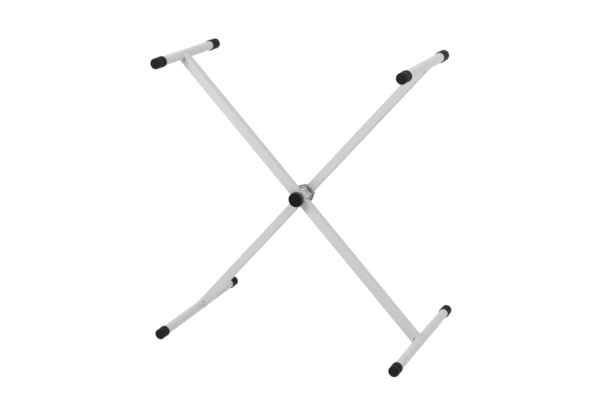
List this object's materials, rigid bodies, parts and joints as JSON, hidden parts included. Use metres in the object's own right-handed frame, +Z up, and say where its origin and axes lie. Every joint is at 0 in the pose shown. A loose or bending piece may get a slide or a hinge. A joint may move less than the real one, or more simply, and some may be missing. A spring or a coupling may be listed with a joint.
{
  "type": "folding keyboard stand",
  "caption": "Folding single-X keyboard stand: crossed square-tube arms with round cross bars and rubber caps, locked by a toothed clutch and hand knob.",
  "frame": {"origin": "on the floor, straight below the pivot bolt, midway between the ends of the cross bars", "axes": "+Z up, +Y along the cross bars and the pivot bolt towards the rear arm, +X across the X to the right; the knob is at -Y"},
  "size_m": [0.7054, 0.451, 0.7671],
  "materials": {
    "tube_paint": "off-white powder coat, satin",
    "cast_zinc": "plated casting, dull grey",
    "plated_steel": "zinc plated",
    "spring_steel": "bright drawn wire",
    "insert_brass": "turned",
    "nylon": "natural nylon",
    "knob_plastic": "black moulded plastic, slight sheen",
    "cap_rubber": "black rubber, fine grain"
  },
  "bodies": {
    "rear_frame": {"rear_arm_tube": "tube_paint", "right_top_bar": "tube_paint", "left_base_bar": "tube_paint", "left_base_front_cap": "cap_rubber", "left_base_rear_cap": "cap_rubber", "right_top_front_cap": "cap_rubber", "right_top_rear_cap": "cap_rubber", "rear_clutch_half": "cast_zinc", "rear_arm_sleeve": "plated_steel", "pivot_bolt": "plated_steel", "clutch_spring": "spring_steel"},
    "clutch_carriage": {"thrust_washer": "plated_steel"},
    "front_frame": {"front_arm_tube": "tube_paint", "left_top_bar": "tube_paint", "right_base_bar": "tube_paint", "left_top_front_cap": "cap_rubber", "left_top_rear_cap": "cap_rubber", "right_base_front_cap": "cap_rubber", "right_base_rear_cap": "cap_rubber", "front_clutch_half": "cast_zinc", "front_arm_sleeve": "plated_steel", "pivot_bush": "nylon"},
    "knob": {"knob": "knob_plastic", "knob_insert": "insert_brass"}
  },
  "joints": [
    {"name": "clutch_slide", "type": "slide", "parent": "rear_frame", "child": "clutch_carriage", "axis": [0, 1, 0], "range_m": [0, 0.002], "deforming": ["clutch_spring"]},
    {"name": "fold", "type": "hinge", "parent": "clutch_carriage", "child": "front_frame", "pos_m": [0, 0, 0.38354], "axis": [0, 1, 0], "range_deg": [-60, 80]},
    {"name": "knob_turn", "type": "hinge", "parent": "clutch_carriage", "child": "knob", "pos_m": [0, -0.045, 0.38354], "axis": [0, 1, 0], "range_deg": [0, 576]}
  ],
  "couplings": [
    {"joint": "knob_turn", "follows": "clutch_slide", "rad_per_m": 5026.5}
  ]
}
